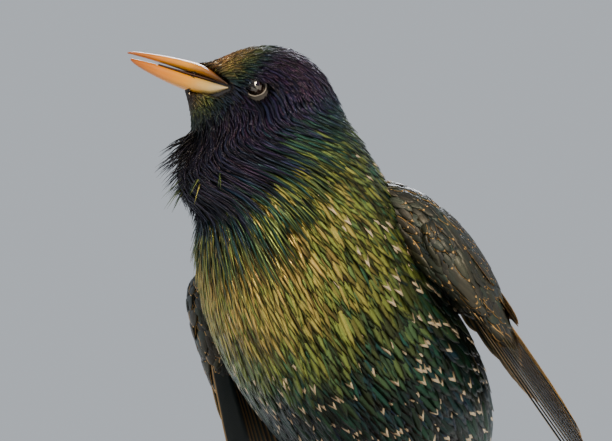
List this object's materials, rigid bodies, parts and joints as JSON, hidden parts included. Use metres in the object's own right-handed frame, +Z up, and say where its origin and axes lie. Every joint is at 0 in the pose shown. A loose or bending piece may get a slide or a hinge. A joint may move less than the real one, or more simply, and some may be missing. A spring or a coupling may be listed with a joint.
{
  "type": "starling display model",
  "caption": "Life-size still model of a starling singing on a short cut branch, wings drooped, held by a rod on a round flat base.",
  "frame": {"origin": "centre of the round base's underside", "axes": "+Z up; the bird's body faces -Y and its left side is towards +X"},
  "size_m": [0.1317, 0.1327, 0.2035],
  "materials": {
    "plumage": "glossy black feathers with green and purple sheen and buff tips",
    "flight_feathers": "dark brown feathers with golden buff edges",
    "bill": "smooth golden yellow horn",
    "eye": "wet dark brown",
    "leg_scale": "scaled reddish brown skin",
    "claw": "dark horn",
    "perch_bark": "natural bark, cut ends",
    "base_wood": "dark stained and waxed",
    "rod_steel": "brushed"
  },
  "bodies": {
    "root": {"stand_base": "base_wood", "stand_rod": "rod_steel", "stand_perch": "perch_bark", "bill_upper": "bill", "bill_lower": "bill", "eye_left": "eye", "eye_right": "eye", "head": "plumage", "neck": "plumage", "torso": "plumage", "wing_left": "flight_feathers", "wing_right": "flight_feathers", "tail": "flight_feathers", "leg_left": "plumage", "tarsus_left": "leg_scale", "foot_left": "leg_scale", "claw_left_inner": "claw", "claw_left_middle": "claw", "claw_left_outer": "claw", "claw_left_hind": "claw", "leg_right": "plumage", "tarsus_right": "leg_scale", "foot_right": "leg_scale", "claw_right_inner": "claw", "claw_right_middle": "claw", "claw_right_outer": "claw", "claw_right_hind": "claw"}
  },
  "joints": []
}
